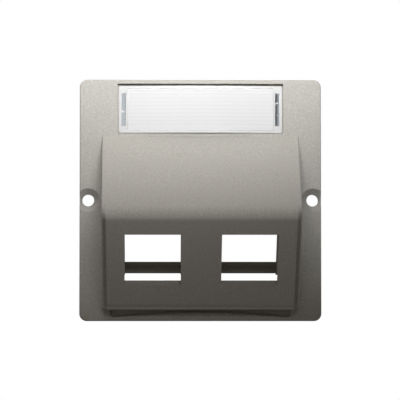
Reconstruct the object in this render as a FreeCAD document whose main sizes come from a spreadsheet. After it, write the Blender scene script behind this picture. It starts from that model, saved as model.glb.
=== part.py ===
import FreeCAD, Part
import math
import os
import Sketcher

# Keystone faceplate: a square wall plate with a sloping hood for two keystone jacks, a clear label
# cover that snaps into a recess above the hood, and the ruled card behind the cover.
#
# Frame, in millimetres: X to the right, Z up the wall, and the front faces -Y. The origin is the
# middle of the plate's back plane, halfway between the two screws.

SIZES = {
    # the plate
    "plate_side": 64.5,
    "plate_depth": 4.0,
    "plate_corner": 2.0,
    "plate_edge": 0.4,
    "skin": 2.0,
    "rim_wall": 1.5,
    # the two fixing screws, on a level line through the middle
    "screw_pitch": 60.0,
    "screw_hole": 3.2,
    "countersink": 6.3,
    "countersink_angle": 90.0,
    "boss_radius": 3.4,
    # the hood: a long slope down from the label, a ridge, and the jack face turned to the floor
    "hood_width": 52.5,
    "hood_draft": 1.0,
    "slope_top": 17.0,
    "slope_angle": 46.0,
    "face_angle": 38.0,
    "lip_drop": 29.2,
    "lip_rise": 2.8,
    "lip_land": 0.65,
    "ridge_round": 3.2,
    "inner_ridge_round": 0.8,
    "hood_corner": 1.6,
    "hood_edge": 0.3,
    "hood_wall": 2.0,
    "face_wall": 2.2,
    # the scoop in the plate under the lip, whose lower edge arches up in the middle
    "scoop_drop": 31.05,
    "scoop_arch": 1.45,
    "scoop_half_top": 23.9,
    "scoop_half_foot": 23.7,
    "scoop_depth": 1.0,
    "scoop_corner": 0.8,
    "scoop_edge": 0.7,
    # each jack opening, and the cradle behind it, measured up and into the jack face
    "port_pitch": 25.4,
    "port_width": 14.8,
    "port_height": 16.4,
    "port_rise": 8.0,
    "cradle_front": 8.0,
    "cradle_back": 9.8,
    "cheek_wall": 1.5,
    "cheek_top": 21.6,
    "cheek_lift": 3.0,
    "heel_low": -2.0,
    "heel_high": 0.5,
    "catch_low": 19.8,
    # the label recess, its floor and the two slots for the cover's legs
    "label_rise": 24.5,
    "recess_width": 44.2,
    "recess_height": 13.4,
    "recess_depth": 1.4,
    "recess_floor": 1.0,
    "pan_wall": 1.2,
    "slot_start": 19.5,
    "slot_end": 21.6,
    "slot_height": 11.2,
    # the clear cover: a bowed front on a skirt, with a barbed leg at each end. It sits low in the
    # recess, so the gap is wider above it than below.
    "cover_rise": 24.18,
    "cover_width": 43.8,
    "cover_height": 12.65,
    "cover_end_rise": 0.3,
    "cover_bow": 1.7,
    "cover_wall": 0.9,
    "cover_skirt": 0.3,
    "cover_corner": 0.7,
    "cover_edge": 0.2,
    "card_bay": 39.3,
    "leg_inside": 19.8,
    "leg_wall": 1.3,
    "leg_height": 8.9,
    "leg_gap": 0.2,
    "barb_reach": 0.7,
    "barb_land": 0.4,
    # the card
    "card_width": 39.1,
    "card_height": 11.9,
    "card_wall": 0.25,
    "card_gap": 0.05,
}

# How far a tool or a joining piece runs past the face it meets.
OVERRUN = 1.0
# Two places closer than this are the same place.
NEAR = 0.01
# A half circle's radius is drawn over by this factor, so that its sketch still solves.
HALF_ROUND = 1.0001


class Size:
    """A number together with the spreadsheet formula that gives it."""

    def __init__(self, value, formula=None):
        self.value = float(value)
        self.formula = formula if formula else repr(float(value))

    def __add__(self, other):
        other = as_size(other)
        return Size(self.value + other.value, f"({self.formula} + {other.formula})")

    def __sub__(self, other):
        other = as_size(other)
        return Size(self.value - other.value, f"({self.formula} - {other.formula})")

    def __mul__(self, other):
        other = as_size(other)
        return Size(self.value * other.value, f"({self.formula} * {other.formula})")

    def __truediv__(self, other):
        other = as_size(other)
        return Size(self.value / other.value, f"({self.formula} / {other.formula})")

    def __neg__(self):
        return Size(-self.value, f"(0 - {self.formula})")


def as_size(thing):
    return thing if isinstance(thing, Size) else Size(thing)


def size(alias):
    return Size(SIZES[alias], f"sizes.{alias}")


def sine(angle):
    return Size(math.sin(math.radians(angle.value)), f"sin({angle.formula})")


def cosine(angle):
    return Size(math.cos(math.radians(angle.value)), f"cos({angle.formula})")


def tangent(angle):
    return Size(math.tan(math.radians(angle.value)), f"tan({angle.formula})")


def root(square):
    return Size(math.sqrt(square.value), f"sqrt({square.formula})")


def bow_radius(chord, rise):
    """Radius of the arc that rises by rise over a chord."""
    return (chord * chord / 4 + rise * rise) / (rise * 2)


def make_sheet(document):
    sheet = document.addObject("Spreadsheet::Sheet", "sizes")
    for row, (alias, value) in enumerate(SIZES.items(), start=1):
        sheet.set(f"A{row}", alias)
        sheet.set(f"B{row}", str(value))
        sheet.setAlias(f"B{row}", alias)
    return sheet


def make_body(document, label):
    body = document.addObject("PartDesign::Body", label)
    body.Label = label
    return body


def bind(feature, path, length):
    feature.setExpression(path, as_size(length).formula)


def sketch_on(body, role, name, lift=0):
    """A sketch on one of the body's own origin planes, lifted along the plane's normal."""
    plane = next(item for item in body.Origin.OriginFeatures if item.Role == role)
    sketch = body.newObject("Sketcher::SketchObject", name)
    sketch.AttachmentSupport = (plane, [""])
    sketch.MapMode = "FlatFace"
    bind(sketch, "AttachmentOffset.Base.z", lift)
    return sketch


def pin_point(sketch, element, end, place):
    """Hold a point of the sketch at its two distances from the sketch's origin."""
    for kind, length in zip(("DistanceX", "DistanceY"), place):
        index = sketch.addConstraint(Sketcher.Constraint(kind, -1, 1, element, end, length.value))
        sketch.setExpression(f"Constraints[{index}]", length.formula)


def outline(sketch, corners, arcs=None):
    """Draw a closed loop through the corners. arcs maps a side's number to its radius, which is
    positive where the side swells to the left of its direction and negative to the right."""
    arcs = arcs or {}
    corners = [(as_size(across), as_size(up)) for across, up in corners]
    points = [FreeCAD.Vector(across.value, up.value, 0) for across, up in corners]
    starts = []
    ends = []
    for side, start in enumerate(points):
        end = points[(side + 1) % len(points)]
        if side not in arcs:
            element = sketch.addGeometry(Part.LineSegment(start, end), False)
            starts.append((element, 1))
            ends.append((element, 2))
            continue
        radius = abs(arcs[side].value)
        chord = end - start
        swell = radius - math.sqrt(radius ** 2 - (chord.Length / 2) ** 2)
        left = FreeCAD.Vector(-chord.y, chord.x, 0).normalize()
        middle = (start + end) / 2 + left * math.copysign(swell, arcs[side].value)
        element = sketch.addGeometry(Part.Arc(start, middle, end), False)
        forward = sketch.getPoint(element, 1).distanceToPoint(start) < NEAR
        starts.append((element, 1 if forward else 2))
        ends.append((element, 2 if forward else 1))
        index = sketch.addConstraint(Sketcher.Constraint("Radius", element, radius))
        sign = Size(math.copysign(1, arcs[side].value))
        sketch.setExpression(f"Constraints[{index}]", (arcs[side] * sign).formula)
    for side, corner in enumerate(corners):
        before = ends[side - 1]
        after = starts[side]
        sketch.addConstraint(Sketcher.Constraint("Coincident", *before, *after))
        pin_point(sketch, *after, corner)


def box_outline(sketch, left, right, low, high):
    outline(sketch, [(left, low), (right, low), (right, high), (left, high)])


def pad(body, name, sketch, length, midplane=False, backwards=False):
    feature = body.newObject("PartDesign::Pad", name)
    feature.Profile = (sketch, [""])
    feature.Midplane = midplane
    feature.Reversed = backwards
    bind(feature, "Length", length)
    return feature


def pocket(body, name, sketch, length, midplane=False, backwards=False):
    """Cut a pocket, and stop if it takes nothing away."""
    before = volume_now(body)
    feature = body.newObject("PartDesign::Pocket", name)
    feature.Profile = (sketch, [""])
    feature.Midplane = midplane
    feature.Reversed = backwards
    bind(feature, "Length", length)
    if volume_now(body) > before - NEAR:
        raise ValueError(f"{name} cuts nothing")
    return feature


def volume_now(body):
    body.Document.recompute()
    return body.Shape.Volume


def round_edges(body, name, wanted, radius):
    """Fillet the edges of the body's last feature whose middle point passes the test."""
    body.Document.recompute()
    last = body.Tip
    names = []
    for number, edge in enumerate(last.Shape.Edges, start=1):
        middle = edge.valueAt((edge.FirstParameter + edge.LastParameter) / 2)
        if wanted(edge, middle):
            names.append(f"Edge{number}")
    if not names:
        raise ValueError(f"{name} finds no edge")
    feature = body.newObject("PartDesign::Fillet", name)
    feature.Base = (last, names)
    bind(feature, "Radius", radius)
    return feature


def mirror_across(body, name, features):
    """Repeat features of the +X half on the -X half."""
    plane = next(item for item in body.Origin.OriginFeatures if item.Role == "YZ_Plane")
    feature = body.newObject("PartDesign::Mirrored", name)
    feature.Originals = features
    feature.MirrorPlane = (plane, [""])
    body.Tip = feature
    return feature


def runs_along(edge, axis):
    """True for a straight edge parallel to the axis."""
    if edge.Curve.TypeId != "Part::GeomLine":
        return False
    return abs(edge.Curve.Direction.dot(axis)) > 1 - NEAR


def out_from_plate(rise):
    """Y of a point that stands out from the plate's front by rise."""
    return -(size("plate_depth") + rise)


def on_jack_face(up, into):
    """(Y, Z) of a point up the jack face from an opening's bottom edge, and into the hood."""
    along = size("port_rise") + up
    angle = size("face_angle")
    rise = size("lip_rise") + along * sine(angle) - cosine(angle) * into
    height = along * cosine(angle) + sine(angle) * into - size("lip_drop")
    return out_from_plate(rise), height


def ridge_point(slope_wall, face_wall):
    """(Y, Z) where the slope and the jack face meet, each moved in by its wall."""
    slope = tangent(size("slope_angle"))
    face = tangent(size("face_angle"))
    slope_inset = as_size(slope_wall) / cosine(size("slope_angle"))
    face_inset = as_size(face_wall) / cosine(size("face_angle"))
    lift = size("slope_top") * slope - slope_inset - size("lip_rise") + face_inset
    height = (lift - size("lip_drop") * face) / (slope + face)
    rise = (size("slope_top") - height) * slope - slope_inset
    return out_from_plate(rise), height


def hood_root():
    """How far in front of the plate's back plane the hood's block starts, inside the skin."""
    return size("plate_depth") - size("skin") / 2


def add_hood_block(body):
    """The hood's outside: its outline is drawn out from inside the plate with the mould's draft,
    and the slope, the jack face and the narrow land along its lip are then cut across it. Starting
    inside the plate lets the rounds pass cleanly under the plate's surface."""
    root = sketch_on(body, "XZ_Plane", "hood_outline", hood_root())
    half = size("hood_width") / 2
    corner = size("hood_corner")
    low = -size("lip_drop")
    slope_foot = size("slope_top") + (size("plate_depth") - hood_root()) / tangent(size("slope_angle"))
    outline(root, [
        (half, slope_foot),
        (-half, slope_foot),
        (-half, low + corner),
        (corner - half, low),
        (half - corner, low),
        (half, low + corner),
    ], arcs={2: -corner, 4: -corner})
    block = pad(body, "hood_block", root, size("slope_top") + size("lip_drop"))
    bind(block, "TaperAngle", -size("hood_draft"))

    side = sketch_on(body, "YZ_Plane", "hood_profile")
    ridge = ridge_point(0, 0)
    land = size("lip_land")
    land_out = out_from_plate(size("lip_rise") + land * tangent(size("face_angle")))
    far = -(size("slope_top") + size("lip_drop") + size("plate_depth") * 2)
    outline(side, [
        (-hood_root(), slope_foot),
        (-hood_root(), slope_foot + OVERRUN),
        (far, slope_foot + OVERRUN),
        (far, low - OVERRUN),
        (land_out, low - OVERRUN),
        (land_out, low + land),
        ridge,
    ])
    pocket(body, "slope_and_jack_face", side, size("hood_width") * 2, midplane=True)

    across = FreeCAD.Vector(1, 0, 0)
    round_edges(
        body, "ridge",
        lambda edge, middle: runs_along(edge, across) and abs(middle.z - ridge[1].value) < NEAR,
        size("ridge_round"))
    round_edges(body, "hood_edges", is_hood_rim, size("hood_edge"))


def is_hood_rim(edge, middle):
    """True for the one run of edges round the slope, the ridge, the jack face and the lip."""
    if edge.BoundBox.YLength < NEAR and middle.y > -hood_root().value - NEAR:
        return False
    at_side = abs(middle.x) > SIZES["hood_width"] / 2 - SIZES["hood_corner"]
    return at_side or middle.z < -SIZES["lip_drop"] + SIZES["hood_corner"]


def add_plate(body):
    """The square plate with rounded corners and a softened front edge."""
    face = sketch_on(body, "XZ_Plane", "plate_outline")
    half = size("plate_side") / 2
    corner = size("plate_corner")
    outline(face, [
        (corner - half, -half),
        (half - corner, -half),
        (half, corner - half),
        (half, half - corner),
        (half - corner, half),
        (corner - half, half),
        (-half, half - corner),
        (-half, corner - half),
    ], arcs={1: -corner, 3: -corner, 5: -corner, 7: -corner})
    pad(body, "plate", face, size("plate_depth"))
    rim = SIZES["plate_side"] / 2 - SIZES["plate_corner"]
    round_edges(
        body, "plate_edge",
        lambda edge, middle: (
            edge.BoundBox.YLength < NEAR
            and abs(middle.y + SIZES["plate_depth"]) < NEAR
            and max(abs(middle.x), abs(middle.z)) > rim),
        size("plate_edge"))


def add_scoop(body):
    """The shallow scoop in the plate's front under the lip. Its upper side is the hood's wall."""
    inset = (size("plate_depth") - hood_root()) * tangent(size("hood_draft"))
    half_top = size("scoop_half_top")
    half_foot = size("scoop_half_foot")
    top = inset - size("lip_drop")
    low = -size("scoop_drop")
    front = sketch_on(body, "XZ_Plane", "scoop_outline", size("plate_depth"))
    outline(front, [
        (half_top, top),
        (-half_top, top),
        (-half_foot, low),
        (half_foot, low),
    ], arcs={2: bow_radius(half_foot * 2, size("scoop_arch"))})
    pocket(body, "scoop", front, size("scoop_depth"))
    depthwise = FreeCAD.Vector(0, 1, 0)
    round_edges(
        body, "scoop_corners",
        lambda edge, middle: (
            runs_along(edge, depthwise)
            and abs(middle.z - low.value) < NEAR
            and abs(abs(middle.x) - half_foot.value) < NEAR),
        size("scoop_corner"))
    hood_wall_foot = top.value - NEAR
    round_edges(
        body, "scoop_edge",
        lambda edge, middle: (
            edge.BoundBox.YLength < NEAR
            and abs(middle.y + SIZES["plate_depth"]) < NEAR
            and low.value - NEAR < middle.z < hood_wall_foot),
        size("scoop_edge"))


def add_hollows(body):
    """The back: the hood's cavity, the relief behind the skin and the thinner label pan."""
    inside = sketch_on(body, "YZ_Plane", "cavity_profile")
    ridge = ridge_point(size("hood_wall"), size("face_wall"))
    floor = size("face_wall") - size("lip_drop")
    slope_wall = size("hood_wall") / sine(size("slope_angle"))
    face_rise = size("lip_rise") + size("face_wall") * tangent(size("face_angle"))
    face_rise = face_rise - size("face_wall") / cosine(size("face_angle"))
    cavity_top = size("slope_top") - slope_wall
    outline(inside, [
        (OVERRUN, cavity_top),
        (-size("plate_depth"), cavity_top),
        ridge,
        (out_from_plate(face_rise), floor),
        (OVERRUN, floor),
    ])
    cavity_width = size("hood_width") - size("hood_wall") * 2
    pocket(body, "cavity", inside, cavity_width, midplane=True)
    across = FreeCAD.Vector(1, 0, 0)
    round_edges(
        body, "inner_ridge",
        lambda edge, middle: (
            runs_along(edge, across)
            and abs(middle.z - ridge[1].value) < NEAR
            and abs(middle.y - ridge[0].value) < NEAR),
        size("inner_ridge_round"))

    edge = size("plate_side") / 2 - size("rim_wall")
    pan_side = size("recess_width") / 2 + size("pan_wall")
    pan_low = size("label_rise") - size("recess_height") / 2 - size("pan_wall")
    back = sketch_on(body, "XZ_Plane", "skin_relief")
    outline(back, [
        (-edge, -edge),
        (edge, -edge),
        (edge, edge),
        (pan_side, edge),
        (pan_side, pan_low),
        (-pan_side, pan_low),
        (-pan_side, edge),
        (-edge, edge),
    ])
    pocket(body, "relief", back, size("plate_depth") - size("skin"), backwards=True)

    behind = sketch_on(body, "XZ_Plane", "pan_relief")
    half = size("recess_width") / 2
    box_outline(behind, -half, half, pan_low + size("pan_wall"), edge)
    pan_depth = size("plate_depth") - size("recess_depth") - size("recess_floor")
    pocket(body, "label_pan", behind, pan_depth, backwards=True)


def add_label_recess(body):
    """The recess in the front for the cover, with a slot at each end for the cover's legs."""
    half = size("recess_width") / 2
    middle = size("label_rise")
    front = sketch_on(body, "XZ_Plane", "recess_outline", size("plate_depth"))
    box_outline(
        front, -half, half,
        middle - size("recess_height") / 2, middle + size("recess_height") / 2)
    pocket(body, "label_recess", front, size("recess_depth"))

    slots = sketch_on(body, "XZ_Plane", "slot_outlines", size("plate_depth"))
    low = size("cover_rise") - size("slot_height") / 2
    high = size("cover_rise") + size("slot_height") / 2
    box_outline(slots, size("slot_start"), size("slot_end"), low, high)
    right = pocket(body, "leg_slot", slots, size("plate_depth"))
    mirror_across(body, "leg_slots", [right])


def add_ports(body):
    """The two jack openings. Behind each stand two cheeks, and across the cheeks' back edges lie
    the heel rail that a jack's foot hooks under and the catch rail that its spring latch grips."""
    inner = (size("port_pitch") - size("port_width")) / 2
    outer = inner + size("port_width")
    front = size("cradle_front")
    back = size("cradle_back")
    cheek_foot = on_jack_face(0, 0)[1] + size("cheek_lift")

    def up_at(height, into):
        """How far up the face a given height is, at a given depth into the hood."""
        start = on_jack_face(0, into)[1]
        return (height - start) / cosine(size("face_angle"))

    buried = size("face_wall") / 2
    cheek_shape = [
        on_jack_face(up_at(cheek_foot, buried), buried),
        on_jack_face(up_at(cheek_foot, back), back),
        on_jack_face(size("cheek_top"), back),
        on_jack_face(size("cheek_top"), buried),
    ]
    heel_shape = rail_shape(size("heel_low"), size("heel_high"), front, back)
    catch_shape = rail_shape(size("catch_low"), size("cheek_top"), front, back)
    short_of_rails = front / 2
    opening_shape = rail_shape(as_size(0), size("port_height"), -OVERRUN, short_of_rails)
    lap = size("cheek_wall") / 2
    width = size("port_width")
    pieces = []
    for name, shape, start, length in (
        ("inner_cheek", cheek_shape, inner - size("cheek_wall"), size("cheek_wall")),
        ("outer_cheek", cheek_shape, outer, size("cheek_wall")),
        ("heel_rail", heel_shape, inner - lap, width + lap * 2),
        ("catch_rail", catch_shape, inner - lap, width + lap * 2),
    ):
        side = sketch_on(body, "YZ_Plane", f"{name}_profile", start)
        outline(side, shape)
        pieces.append(pad(body, name, side, length))

    side = sketch_on(body, "YZ_Plane", "opening_profile", inner)
    outline(side, opening_shape)
    pieces.append(pocket(body, "opening", side, width, backwards=True))

    mirror_across(body, "second_port", pieces)


def rail_shape(low, high, front, back):
    """Corners of a bar's section, between two heights up the face and two depths into the hood."""
    return [
        on_jack_face(low, front),
        on_jack_face(low, back),
        on_jack_face(high, back),
        on_jack_face(high, front),
    ]


def add_screw_holes(body):
    """A boss behind each fixing hole, and the countersink, which runs off the plate's edge."""
    centre = size("screw_pitch") / 2
    reach = size("boss_radius")
    edge = size("plate_side") / 2 - size("rim_wall") / 2
    plan = sketch_on(body, "XZ_Plane", "boss_outline")
    outline(plan, [
        (edge, -reach),
        (edge, reach),
        (centre, reach),
        (centre, -reach),
    ], arcs={2: -reach * HALF_ROUND})
    boss = pad(body, "screw_boss", plan, size("plate_depth") - size("skin") / 2)
    mirror_across(body, "screw_bosses", [boss])

    holes = sketch_on(body, "XZ_Plane", "screw_centres", size("plate_depth"))
    for side in (1, -1):
        spot = FreeCAD.Vector(side * centre.value, 0, 0)
        up = FreeCAD.Vector(0, 0, 1)
        circle = holes.addGeometry(Part.Circle(spot, up, SIZES["screw_hole"] / 2), False)
        pin_point(holes, circle, 3, (centre * side, Size(0)))
        index = holes.addConstraint(Sketcher.Constraint("Diameter", circle, SIZES["screw_hole"]))
        holes.setExpression(f"Constraints[{index}]", size("screw_hole").formula)
    before = volume_now(body)
    hole = body.newObject("PartDesign::Hole", "screw_holes")
    hole.Profile = (holes, [""])
    body.Document.recompute()
    hole.Threaded = False
    hole.ThreadType = "None"
    hole.DepthType = "ThroughAll"
    hole.HoleCutType = "Countersink"
    hole.HoleCutCustomValues = True
    bind(hole, "Diameter", size("screw_hole"))
    bind(hole, "HoleCutDiameter", size("countersink"))
    bind(hole, "HoleCutCountersinkAngle", size("countersink_angle"))
    if volume_now(body) > before - NEAR:
        raise ValueError("the screw holes cut nothing")


def build_faceplate(document):
    body = make_body(document, "faceplate")
    add_hood_block(body)
    add_plate(body)
    add_scoop(body)
    add_hollows(body)
    add_label_recess(body)
    add_ports(body)
    add_screw_holes(body)
    return body


def cover_arc(inset):
    """Radius of the cover's bowed front moved in by inset, and the Y of the bow's centre."""
    radius = bow_radius(size("cover_width"), size("cover_bow"))
    top = out_from_plate(size("cover_end_rise") + size("cover_bow"))
    return radius - inset, top + radius


def build_label_window(document):
    """The clear cover: a bowed bar hollowed from behind for the card, and its two snap legs."""
    body = make_body(document, "label_window")
    half = size("cover_width") / 2
    floor = size("recess_depth") - size("plate_depth")
    radius = cover_arc(0)[0]
    plan = sketch_on(body, "XY_Plane", "cover_plan", size("cover_rise"))
    shoulder = out_from_plate(size("cover_end_rise"))
    outline(plan, [
        (-half, floor),
        (-half, shoulder),
        (half, shoulder),
        (half, floor),
    ], arcs={1: -radius})
    pad(body, "cover_bar", plan, size("cover_height"), midplane=True)

    bay_half = size("card_bay") / 2
    inner_radius, centre = cover_arc(size("cover_wall"))
    bay_shoulder = centre - root(inner_radius * inner_radius - bay_half * bay_half)
    bay = sketch_on(body, "XY_Plane", "card_bay_plan", size("cover_rise"))
    outline(bay, [
        (-bay_half, floor + OVERRUN),
        (-bay_half, bay_shoulder),
        (bay_half, bay_shoulder),
        (bay_half, floor + OVERRUN),
    ], arcs={1: -inner_radius})
    bay_height = size("cover_height") - size("cover_skirt") * 2
    pocket(body, "card_bay", bay, bay_height, midplane=True)

    depthwise = FreeCAD.Vector(0, 1, 0)
    round_edges(
        body, "cover_corners",
        lambda edge, middle: runs_along(edge, depthwise) and abs(middle.x) > half.value - NEAR,
        size("cover_corner"))
    front = shoulder.value
    round_edges(
        body, "cover_edges",
        lambda edge, middle: (
            middle.y < front + NEAR
            and not runs_along(edge, depthwise)
            and edge.BoundBox.ZLength < SIZES["cover_height"] + NEAR
            and is_cover_front(edge, middle)),
        size("cover_edge"))

    inside = size("leg_inside")
    outside = inside + size("leg_wall")
    catch = floor + size("recess_floor")
    tip = Size(0) - size("leg_gap")
    leg_plan = sketch_on(body, "XY_Plane", "leg_plan", size("cover_rise"))
    outline(leg_plan, [
        (inside, floor - size("cover_wall")),
        (outside, floor - size("cover_wall")),
        (outside, tip),
        (inside, tip),
        (inside - size("barb_reach"), catch + size("barb_land")),
        (inside - size("barb_reach"), catch),
        (inside, catch),
    ])
    leg = pad(body, "snap_leg", leg_plan, size("leg_height"), midplane=True)
    mirror_across(body, "snap_legs", [leg])
    return body


def is_cover_front(edge, middle):
    """True for the edges round the cover's bowed front, and not for those of the card bay."""
    half_height = SIZES["cover_height"] / 2
    half_width = SIZES["cover_width"] / 2
    at_side = abs(middle.x) > half_width - SIZES["cover_corner"]
    at_top = abs(middle.z - SIZES["cover_rise"]) > half_height - NEAR
    return at_side or at_top


def build_label_card(document):
    """The card: a thin strip that follows the cover's bow and stands on its lower skirt."""
    body = make_body(document, "label_card")
    half = size("card_width") / 2
    outer_radius, centre = cover_arc(size("cover_wall") + size("card_gap"))
    inner_radius = outer_radius - size("card_wall")
    outer_end = centre - root(outer_radius * outer_radius - half * half)
    inner_end = centre - root(inner_radius * inner_radius - half * half)
    foot = size("cover_rise") - size("cover_height") / 2 + size("cover_skirt")
    plan = sketch_on(body, "XY_Plane", "card_plan", foot)
    outline(plan, [
        (-half, inner_end),
        (-half, outer_end),
        (half, outer_end),
        (half, inner_end),
    ], arcs={1: -outer_radius, 3: inner_radius})
    pad(body, "card_strip", plan, size("card_height"))
    return body


def check(document, bodies):
    """Stop before anything is written if a feature failed or a shape isn't sound."""
    for item in document.Objects:
        if "Invalid" in item.State or "Error" in item.State:
            raise ValueError(f"{item.Name} failed: {item.State}")
    for body in bodies:
        if body.Shape.isNull() or not body.Shape.isValid():
            raise ValueError(f"{body.Label} has no sound shape")
        if len(body.Shape.Solids) != 1:
            raise ValueError(f"{body.Label} is {len(body.Shape.Solids)} solids")


def main():
    document = FreeCAD.newDocument("keystone_faceplate")
    make_sheet(document)
    document.recompute()
    bodies = [
        build_faceplate(document),
        build_label_window(document),
        build_label_card(document),
    ]
    document.recompute()
    check(document, bodies)
    os.makedirs("parts", exist_ok=True)
    for body in bodies:
        print(body.Label, round(body.Shape.Volume, 1), "mm3", body.Shape.BoundBox)
        body.Shape.exportStep(f"parts/{body.Label}.step")


main()
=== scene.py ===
import math

import bpy
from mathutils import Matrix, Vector


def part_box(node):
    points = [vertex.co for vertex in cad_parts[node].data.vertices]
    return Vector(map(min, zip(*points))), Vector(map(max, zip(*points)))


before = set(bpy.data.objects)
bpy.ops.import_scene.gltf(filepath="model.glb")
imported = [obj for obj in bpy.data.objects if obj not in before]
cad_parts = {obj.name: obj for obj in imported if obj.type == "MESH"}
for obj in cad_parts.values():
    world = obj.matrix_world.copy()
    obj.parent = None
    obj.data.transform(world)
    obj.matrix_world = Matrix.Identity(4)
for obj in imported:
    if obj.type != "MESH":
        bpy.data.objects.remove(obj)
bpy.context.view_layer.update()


# The faceplate: one injection moulding, a square plate with a hollow hood on its front. Fine
# flecks mixed into the plastic make its satin champagne grey, and its outside keeps the fine
# spark finish of the mould. Two countersunk screws hold it to the box in the wall.

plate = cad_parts["faceplate"]

PLATE_GREY = (0.52, 0.503, 0.465)       # linear colour between the flecks
FLECK_PALE = (0.643, 0.633, 0.589)      # a fleck that lies flat
FLECK_DARK = (0.426, 0.409, 0.375)      # a fleck that stands on edge
FLECK_SIZE = 0.00028                    # metres across
PALE_START, PALE_FULL = 0.58, 0.72      # where in the noise a pale fleck starts and is full
DARK_START, DARK_FULL = 0.42, 0.30      # and a dark one
SPARK_SIZE = 0.00045                    # metres, the pitch of the mould's fine finish
SPARK_DEPTH = 0.00003
SPARK_STRENGTH = 0.5
SATIN_SMOOTHEST, SATIN_ROUGHEST = 0.44, 0.50
DULL_ROUGHNESS = 1.0                    # inside the hood
PLASTIC_IOR = 1.5
PLASTIC_SHINE = 0.25                    # half the sheen of bare plastic

# Where the hood's faces lie, in metres, for the finishes that follow them.
FACE_ANGLE = math.radians(38.0)         # of the jack face, down from straight out
SLOPE_ANGLE = math.radians(46.0)        # of the slope, up from straight out
FACE_FOOT = (0.0, -0.0068, -0.0292)     # a point of the jack face, at the lip
FACE_AIM = (0.0, -math.cos(FACE_ANGLE), -math.sin(FACE_ANGLE))
SLOPE_FOOT = (0.0, -0.004, 0.017)       # a point of the slope, at its top
SLOPE_AIM = (0.0, -math.cos(SLOPE_ANGLE), math.sin(SLOPE_ANGLE))
FACE_EDGE_START = 0.02475               # from the middle, where the jack face falls away
FACE_EDGE_END = 0.02565
FACE_EDGE_FALL = 0.0010
RIDGE_START, RIDGE_END = -0.002, -0.006     # heights, from none to all of that fall
PLATE_START, PLATE_END = -0.006, -0.008     # depths, from none to all of that fall
SKIN_START, SKIN_END = 0.0001, 0.0004   # behind a face, where the dull inside starts
HOLLOW_HALF = 0.0246                    # from the middle to the side walls
BACK_START, BACK_END = -0.002, -0.004   # depths, where the hood's inside starts


def new_group(name, inputs, outputs):
    """An empty shader node group with these sockets, and its input and output nodes."""
    group = bpy.data.node_groups.new(name, "ShaderNodeTree")
    for socket, kind, value in inputs:
        made = group.interface.new_socket(socket, in_out="INPUT", socket_type=kind)
        if value is not None:
            made.default_value = value
    for socket, kind in outputs:
        group.interface.new_socket(socket, in_out="OUTPUT", socket_type=kind)
    return group, group.nodes.new("NodeGroupInput"), group.nodes.new("NodeGroupOutput")


def new_material(name):
    """A material with one Principled shader, and the tree, the shader and its output."""
    material = bpy.data.materials.new(name)
    material.use_nodes = True
    tree = material.node_tree
    tree.nodes.clear()
    shader = tree.nodes.new("ShaderNodeBsdfPrincipled")
    output = tree.nodes.new("ShaderNodeOutputMaterial")
    tree.links.new(shader.outputs["BSDF"], output.inputs["Surface"])
    return material, tree, shader, output


def link(tree, value, socket):
    """A socket fed by another socket, or set to a plain colour or number."""
    if isinstance(value, bpy.types.NodeSocket):
        tree.links.new(value, socket)
    elif isinstance(value, tuple):
        socket.default_value = (*value, 1.0)
    else:
        socket.default_value = value


def noise(tree, where, scale, detail=2.0):
    """A noise texture on a place socket."""
    made = tree.nodes.new("ShaderNodeTexNoise")
    link(tree, scale, made.inputs["Scale"])
    made.inputs["Detail"].default_value = detail
    tree.links.new(where, made.inputs["Vector"])
    return made.outputs["Fac"]


def reckon(tree, operation, first, second=0.0):
    """One step of arithmetic on numbers or sockets."""
    made = tree.nodes.new("ShaderNodeMath")
    made.operation = operation
    link(tree, first, made.inputs[0])
    link(tree, second, made.inputs[1])
    return made.outputs[0]


def remap(tree, value, low, high, to_low=0.0, to_high=1.0):
    """A value stretched from one range to another, and kept inside it."""
    made = tree.nodes.new("ShaderNodeMapRange")
    link(tree, value, made.inputs["Value"])
    for name, limit in zip(("From Min", "From Max", "To Min", "To Max"),
                           (low, high, to_low, to_high)):
        link(tree, limit, made.inputs[name])
    return made.outputs["Result"]


def mix_colour(tree, share, first, second):
    """Two colours mixed by a share. Each is a colour or a socket."""
    made = tree.nodes.new("ShaderNodeMix")
    made.data_type = "RGBA"
    # Sockets 0, 6 and 7 are the share and the two colours, and output 2 is the mixed colour.
    for number, value in ((0, share), (6, first), (7, second)):
        link(tree, value, made.inputs[number])
    return made.outputs[2]


def bump(tree, height, distance, strength=1.0):
    """A bump of this depth in metres, on top of any bump the shader has already."""
    shader = next(n for n in tree.nodes if n.type == "BSDF_PRINCIPLED")
    made = tree.nodes.new("ShaderNodeBump")
    made.inputs["Strength"].default_value = strength
    made.inputs["Distance"].default_value = distance
    tree.links.new(height, made.inputs["Height"])
    if shader.inputs["Normal"].is_linked:
        tree.links.new(shader.inputs["Normal"].links[0].from_socket, made.inputs["Normal"])
    tree.links.new(made.outputs["Normal"], shader.inputs["Normal"])


def object_place(tree):
    """The place on the object, whole and as its x, y and z."""
    place = tree.nodes.new("ShaderNodeTexCoord").outputs["Object"]
    split = tree.nodes.new("ShaderNodeSeparateXYZ")
    tree.links.new(place, split.inputs["Vector"])
    return place, split.outputs["X"], split.outputs["Y"], split.outputs["Z"]


def in_front(tree, place, through, facing):
    """How far a place lies in front of a flat face, in metres."""
    offset = tree.nodes.new("ShaderNodeVectorMath")
    offset.operation = "SUBTRACT"
    tree.links.new(place, offset.inputs[0])
    offset.inputs[1].default_value = through
    along = tree.nodes.new("ShaderNodeVectorMath")
    along.operation = "DOT_PRODUCT"
    tree.links.new(offset.outputs["Vector"], along.inputs[0])
    along.inputs[1].default_value = facing
    return along.outputs["Value"]


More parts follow.
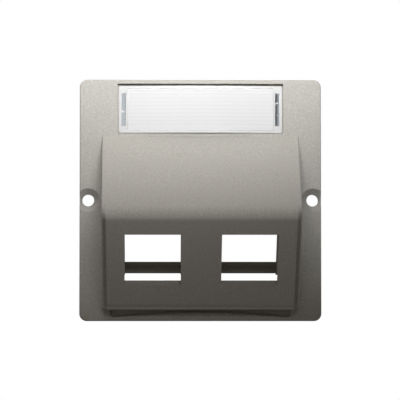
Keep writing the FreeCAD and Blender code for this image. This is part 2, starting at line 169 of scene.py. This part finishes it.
# The grain that a mould or a paper mill leaves: a fine height, and a gloss that wanders
# slowly from place to place.
WANDER_SIZE = 0.012                     # metres over which the gloss changes
WANDER_DETAIL = 3.0
WANDER_LOW, WANDER_HIGH = 0.3, 0.7      # of its noise, at the smoothest and the roughest
grain_group, grain_in, grain_out = new_group(
    "surface_grain",
    [("Place", "NodeSocketVector", None), ("Grain Size", "NodeSocketFloat", 0.001),
     ("Smoothest", "NodeSocketFloat", 0.4), ("Roughest", "NodeSocketFloat", 0.5)],
    [("Height", "NodeSocketFloat"), ("Roughness", "NodeSocketFloat")])
grain_scale = reckon(grain_group, "DIVIDE", 1.0, grain_in.outputs["Grain Size"])
grain_group.links.new(noise(grain_group, grain_in.outputs["Place"], grain_scale),
                      grain_out.inputs["Height"])
wander = noise(grain_group, grain_in.outputs["Place"], 1 / WANDER_SIZE, WANDER_DETAIL)
gloss = remap(grain_group, wander, WANDER_LOW, WANDER_HIGH,
              grain_in.outputs["Smoothest"], grain_in.outputs["Roughest"])
grain_group.links.new(gloss, grain_out.inputs["Roughness"])


def grain(tree, place, size, smoothest, roughest):
    """The grain group placed in a material, with its roughness fed in. Gives the height."""
    made = tree.nodes.new("ShaderNodeGroup")
    made.node_tree = grain_group
    values = {"Place": place, "Grain Size": size, "Smoothest": smoothest, "Roughest": roughest}
    for name, value in values.items():
        link(tree, value, made.inputs[name])
    shader = next(n for n in tree.nodes if n.type == "BSDF_PRINCIPLED")
    tree.links.new(made.outputs["Roughness"], shader.inputs["Roughness"])
    return made.outputs["Height"]


satin, tree, shader, _ = new_material("satin_flecked_plastic")
place, across, depth, rise = object_place(tree)
flecks = noise(tree, place, 1 / FLECK_SIZE, detail=1.0)
pale = remap(tree, flecks, PALE_START, PALE_FULL)
dark = remap(tree, flecks, DARK_START, DARK_FULL)
colour = mix_colour(tree, pale, PLATE_GREY, FLECK_PALE)
colour = mix_colour(tree, dark, colour, FLECK_DARK)
tree.links.new(colour, shader.inputs["Base Color"])
spark = grain(tree, place, SPARK_SIZE, SATIN_SMOOTHEST, SATIN_ROUGHEST)
bump(tree, spark, SPARK_DEPTH, SPARK_STRENGTH)

# The jack face falls away a little over its last millimetre at each side.
from_middle = reckon(tree, "ABSOLUTE", across)
fall = remap(tree, from_middle, FACE_EDGE_START, FACE_EDGE_END, 1.0, 0.0)
below_ridge = remap(tree, rise, RIDGE_START, RIDGE_END)
off_plate = remap(tree, depth, PLATE_START, PLATE_END)
fall = reckon(tree, "MULTIPLY", fall, reckon(tree, "MULTIPLY", below_ridge, off_plate))
bump(tree, fall, FACE_EDGE_FALL)
shader.inputs["IOR"].default_value = PLASTIC_IOR
shader.inputs["Specular IOR Level"].default_value = PLASTIC_SHINE

# Inside the hood the mould has no satin finish, and the plastic is dull.
behind_face = remap(tree, in_front(tree, place, FACE_FOOT, FACE_AIM),
                    -SKIN_START, -SKIN_END)
behind_slope = remap(tree, in_front(tree, place, SLOPE_FOOT, SLOPE_AIM),
                     -SKIN_START, -SKIN_END)
between_sides = remap(tree, from_middle, HOLLOW_HALF - SKIN_START, HOLLOW_HALF, 1.0, 0.0)
above_lip = remap(tree, rise, FACE_FOOT[2], FACE_FOOT[2] + SKIN_END)
hollow = remap(tree, depth, BACK_START, BACK_END)
for share in (behind_face, behind_slope, between_sides, above_lip):
    hollow = reckon(tree, "MULTIPLY", hollow, share)
satin_rough = shader.inputs["Roughness"].links[0].from_socket
tree.links.new(remap(tree, hollow, 0.0, 1.0, satin_rough, DULL_ROUGHNESS),
               shader.inputs["Roughness"])

plate.data.materials[0] = satin


# The label card: a strip of thin white card, cut to fit under the window. Faint printed rules
# cross it for handwriting. It is only laid in the bay behind the window.

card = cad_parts["label_card"]

CARD_WHITE = (0.88, 0.865, 0.885)       # linear colour
RULE_GREY = (0.83, 0.815, 0.835)
RULE_PITCH = 0.00101                    # metres between rules
RULE_WIDTH = 0.30                       # share of the pitch
FIBRE_SIZE = 0.0011                     # metres
FIBRE_DEPTH = 0.00001
FIBRE_STRENGTH = 0.2
CARD_SMOOTHEST, CARD_ROUGHEST = 0.80, 0.92

paper, tree, shader, _ = new_material("white_card")
place, _, _, rise = object_place(tree)
from_rule = reckon(tree, "PINGPONG", rise, RULE_PITCH / 2)
rule = remap(tree, from_rule, 0.0, RULE_PITCH * RULE_WIDTH, 1.0, 0.0)
tree.links.new(mix_colour(tree, rule, CARD_WHITE, RULE_GREY), shader.inputs["Base Color"])
fibres = grain(tree, place, FIBRE_SIZE, CARD_SMOOTHEST, CARD_ROUGHEST)
bump(tree, fibres, FIBRE_DEPTH, FIBRE_STRENGTH)

card.data.materials[0] = paper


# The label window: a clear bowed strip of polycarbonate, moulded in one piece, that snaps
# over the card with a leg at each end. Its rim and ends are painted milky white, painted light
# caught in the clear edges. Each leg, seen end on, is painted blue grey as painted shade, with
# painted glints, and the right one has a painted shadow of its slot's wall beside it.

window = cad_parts["label_window"]

CLEAR_TINT = (0.97, 0.985, 0.985)       # of what is seen through it
LIGHT_TINT = (0.985, 0.985, 0.985)      # of light that falls through it on the card
WINDOW_IOR = 1.49
POLISH_SIZE = 0.0025                    # metres, the pitch of the polish's faint marks
POLISH_SMOOTHEST, POLISH_ROUGHEST = 0.02, 0.06
# The rim and ends are painted white as painted light, for the light the clear edges catch and
# pipe.
RIM_PAINTED_WHITE = (0.75, 0.75, 0.755)
RIM_ROUGHNESS = 0.35
RIM_WIDTH = 0.00065                     # metres, as all the sizes below are
RIM_SOFT = 0.0001
# The legs' blue grey is painted shade, seen through them end on.
LEG_SHADE_TINT = (0.45, 0.49, 0.52)
LEG_PAINTED_SHADOW = (0.04, 0.044, 0.05)          # painted shadow of the slot's wall beside the right leg
LEG_SHADOW_REACH = 0.0003
END_START = 0.01945                     # from the middle to the milky end
LEG_NEAR = 0.0199                       # from the middle to the leg's inner side
LEG_FAR = 0.0211
LEG_HALF = 0.00443                      # half the leg's height
LEG_SOFT = 0.0001
GLINT_SIZE = 0.0012                     # between the painted glints in the legs
GLINT_START, GLINT_FULL = 0.64, 0.70    # where in the noise a painted glint starts and is full

window_low, window_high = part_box("label_window")
window_half = (window_high - window_low) / 2
window_rise = (window_high.z + window_low.z) / 2


def inside(tree, value, low, high, soft):
    """1 where a value lies between two limits, 0 outside, with soft ends."""
    return reckon(tree, "MULTIPLY", remap(tree, value, low - soft, low + soft),
                  remap(tree, value, high - soft, high + soft, 1.0, 0.0))


clear, tree, shader, output = new_material("clear_window_plastic")
place, across, _, rise = object_place(tree)
from_middle = reckon(tree, "ABSOLUTE", across)
from_centre_line = reckon(tree, "ABSOLUTE", reckon(tree, "SUBTRACT", rise, window_rise))
to_rim = reckon(tree, "MINIMUM", reckon(tree, "SUBTRACT", window_half.x, from_middle),
                reckon(tree, "SUBTRACT", window_half.z, from_centre_line))
rim = remap(tree, to_rim, RIM_WIDTH - RIM_SOFT, RIM_WIDTH + RIM_SOFT, 1.0, 0.0)
leg_across = inside(tree, from_middle, LEG_NEAR, LEG_FAR, LEG_SOFT)
leg_upright = remap(tree, from_centre_line, LEG_HALF - LEG_SOFT, LEG_HALF + LEG_SOFT,
                    1.0, 0.0)
leg = reckon(tree, "MULTIPLY", leg_across, leg_upright)
# Beside the right leg's inner side, a dark stripe is painted shadow where the slot's wall lies
# in shade.
on_right = remap(tree, across, 0.0, LEG_NEAR)
near_wall = remap(tree, across, LEG_NEAR + LEG_SHADOW_REACH, LEG_FAR, 1.0, 0.0)
painted_wall_shadow = reckon(tree, "MULTIPLY", on_right, near_wall)
leg_painted_shade = mix_colour(tree, painted_wall_shadow, LEG_SHADE_TINT, LEG_PAINTED_SHADOW)
tree.links.new(mix_colour(tree, leg, CLEAR_TINT, leg_painted_shade), shader.inputs["Base Color"])
# Where the window is painted milky white as painted light: its rim and its ends, but not its
# legs.
end = remap(tree, from_middle, END_START - LEG_SOFT, END_START + LEG_SOFT)
painted_light_share = reckon(tree, "MAXIMUM", rim, reckon(tree, "SUBTRACT", end, leg))
# Bright painted glints, scattered over the legs.
glint_noise = noise(tree, place, 1 / GLINT_SIZE, detail=1.0)
glint = reckon(tree, "MULTIPLY", leg, remap(tree, glint_noise, GLINT_START, GLINT_FULL))
painted_light_share = reckon(tree, "MAXIMUM", painted_light_share, glint)
shader.inputs["Transmission Weight"].default_value = 1.0
shader.inputs["IOR"].default_value = WINDOW_IOR
grain(tree, place, POLISH_SIZE, POLISH_SMOOTHEST, POLISH_ROUGHEST)

# A white matt shader paints the light caught in the rim and ends.
painted_white_rim = tree.nodes.new("ShaderNodeBsdfPrincipled")
painted_white_rim.inputs["Base Color"].default_value = (*RIM_PAINTED_WHITE, 1.0)
painted_white_rim.inputs["Roughness"].default_value = RIM_ROUGHNESS
edged = tree.nodes.new("ShaderNodeMixShader")
tree.links.new(painted_light_share, edged.inputs["Fac"])
tree.links.new(shader.outputs["BSDF"], edged.inputs[1])
tree.links.new(painted_white_rim.outputs["BSDF"], edged.inputs[2])

# Light on its way to the card or the plate goes straight through, tinted, so that a lamp's
# light is counted once.
paths = tree.nodes.new("ShaderNodeLightPath")
through = tree.nodes.new("ShaderNodeBsdfTransparent")
through.inputs["Color"].default_value = (*LIGHT_TINT, 1.0)
glass = edged.outputs["Shader"]
for rays in ("Is Diffuse Ray", "Is Shadow Ray"):
    pick = tree.nodes.new("ShaderNodeMixShader")
    tree.links.new(paths.outputs[rays], pick.inputs["Fac"])
    tree.links.new(glass, pick.inputs[1])
    tree.links.new(through.outputs["BSDF"], pick.inputs[2])
    glass = pick.outputs["Shader"]
tree.links.new(glass, output.inputs["Surface"])

window.data.materials[0] = clear


# The room: white walls all round. What is seen of them straight, mirrored or through clear
# plastic is white, and they add only a little warm light to the part.

ROOM_WARM = (1.0, 0.89, 0.67)
ROOM_LIGHT = 0.053

world = bpy.data.worlds.new("studio")
bpy.context.scene.world = world
world.use_nodes = True
tree = world.node_tree
tree.nodes.clear()
warm = tree.nodes.new("ShaderNodeBackground")
warm.inputs["Color"].default_value = (*ROOM_WARM, 1.0)
warm.inputs["Strength"].default_value = ROOM_LIGHT
white = tree.nodes.new("ShaderNodeBackground")
white.inputs["Color"].default_value = (1.0, 1.0, 1.0, 1.0)
white.inputs["Strength"].default_value = 1.0    # white, where the room is seen


def seen_share(tree):
    """1 for rays that see the room straight, mirrored or through glass, else 0. A ray that
    a matt surface has scattered is light on the object, so it counts as 0."""
    path = tree.nodes.new("ShaderNodeLightPath")
    total = path.outputs["Is Camera Ray"]
    for name in ("Is Glossy Ray", "Is Transmission Ray"):
        total = reckon(tree, "MAXIMUM", total, path.outputs[name])
    unscattered = reckon(tree, "SUBTRACT", total, path.outputs["Diffuse Depth"])
    return reckon(tree, "MAXIMUM", unscattered, 0.0)


both = tree.nodes.new("ShaderNodeMixShader")
tree.links.new(seen_share(tree), both.inputs["Fac"])
tree.links.new(warm.outputs["Background"], both.inputs[1])
tree.links.new(white.outputs["Background"], both.inputs[2])
world_out = tree.nodes.new("ShaderNodeOutputWorld")
tree.links.new(both.outputs["Shader"], world_out.inputs["Surface"])


# The floor: a plain pale matt sheet, laid flat well below the part, which hangs in the air
# as it would on its wall. It glows only where it is looked at, so that it looks pale.

FLOOR_DROP = 0.5                        # metres below the middle of the plate
FLOOR_HALF = 3.0
FLOOR_PALE = (0.80, 0.79, 0.78)
FLOOR_ROUGHNESS = 0.9
FLOOR_GLOW = 0.8

floor_mesh = bpy.data.meshes.new("floor")
corners = [(x * FLOOR_HALF, y * FLOOR_HALF, -FLOOR_DROP)
           for x, y in ((-1, -1), (1, -1), (1, 1), (-1, 1))]
floor_mesh.from_pydata(corners, [], [(0, 1, 2, 3)])
floor = bpy.data.objects.new("floor", floor_mesh)
bpy.context.scene.collection.objects.link(floor)

pale_floor, tree, shader, _ = new_material("pale_floor")
shader.inputs["Base Color"].default_value = (*FLOOR_PALE, 1.0)
shader.inputs["Roughness"].default_value = FLOOR_ROUGHNESS
shader.inputs["Emission Color"].default_value = (*FLOOR_PALE, 1.0)
lift = reckon(tree, "MULTIPLY", seen_share(tree), FLOOR_GLOW)
tree.links.new(lift, shader.inputs["Emission Strength"])
floor_mesh.materials.append(pale_floor)


# The lamps: four flat soft lamps on stands. The key and the fill are above and in front, a
# weak one is low on the left, and a narrow weak one stands behind, low on the right.

PLATE_FRONT = 0.004                     # metres from the wall
PLATE_MIDDLE = Vector((0.0, -PLATE_FRONT, 0.0))


def soft_lamp(name, at, towards, width, height, power, colour, spread):
    """A flat soft lamp at one point that faces another. Sizes are in metres, the power in
    watts and the spread in degrees."""
    data = bpy.data.lights.new(name, "AREA")
    data.shape = "RECTANGLE"
    data.size = width
    data.size_y = height
    data.energy = power
    data.color = colour
    data.spread = math.radians(spread)
    lamp = bpy.data.objects.new(name, data)
    bpy.context.scene.collection.objects.link(lamp)
    lamp.location = at
    lamp.rotation_euler = (towards - at).to_track_quat("-Z", "Y").to_euler()


soft_lamp("key", at=Vector((0.0083, -0.212, 0.0979)),
          towards=Vector((-0.0092, -PLATE_FRONT, 0.1366)), width=0.112, height=0.030,
          power=0.299, colour=(0.99, 1.0, 1.0), spread=86.6)
soft_lamp("fill", at=Vector((-0.10, -0.15, 0.38)), towards=PLATE_MIDDLE, width=0.12,
          height=0.12, power=0.316, colour=(1.0, 0.951, 0.918), spread=180.0)
soft_lamp("low", at=Vector((-0.15, -0.15, -0.45)), towards=PLATE_MIDDLE, width=0.20,
          height=0.20, power=0.080, colour=(0.99, 0.89, 1.0), spread=180.0)
soft_lamp("back", at=Vector((0.15, 0.50, -0.22)), towards=Vector((0.0, 0.0, 0.0)),
          width=0.12, height=0.12, power=0.012, colour=(1.0, 1.0, 1.0), spread=30.0)


# The camera: in front, a little below and to the left of the plate's middle, with a long
# lens. The plate takes up three fifths of the frame's width.

low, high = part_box("faceplate")
plate_side = high.x - low.x
CAMERA_AT = Vector((-0.0110, -0.604, -0.033))
CAMERA_AIM = Vector((-0.00012, -PLATE_FRONT, 0.00003))
FRAME_SHARE = 0.60425                   # of the frame's width, taken by the plate
SENSOR = 36.0                           # millimetres
NEAREST, FARTHEST = 0.01, 20            # metres that it sees

camera_data = bpy.data.cameras.new("camera")
camera = bpy.data.objects.new("camera", camera_data)
bpy.context.scene.collection.objects.link(camera)
bpy.context.scene.camera = camera
camera.location = CAMERA_AT
camera.rotation_euler = (CAMERA_AIM - CAMERA_AT).to_track_quat("-Z", "Y").to_euler()
reach = (CAMERA_AIM - CAMERA_AT).length
camera_data.sensor_width = SENSOR
camera_data.lens = SENSOR * reach * FRAME_SHARE / plate_side
camera_data.clip_start = NEAREST
camera_data.clip_end = FARTHEST

bpy.context.scene.view_settings.view_transform = "Standard"
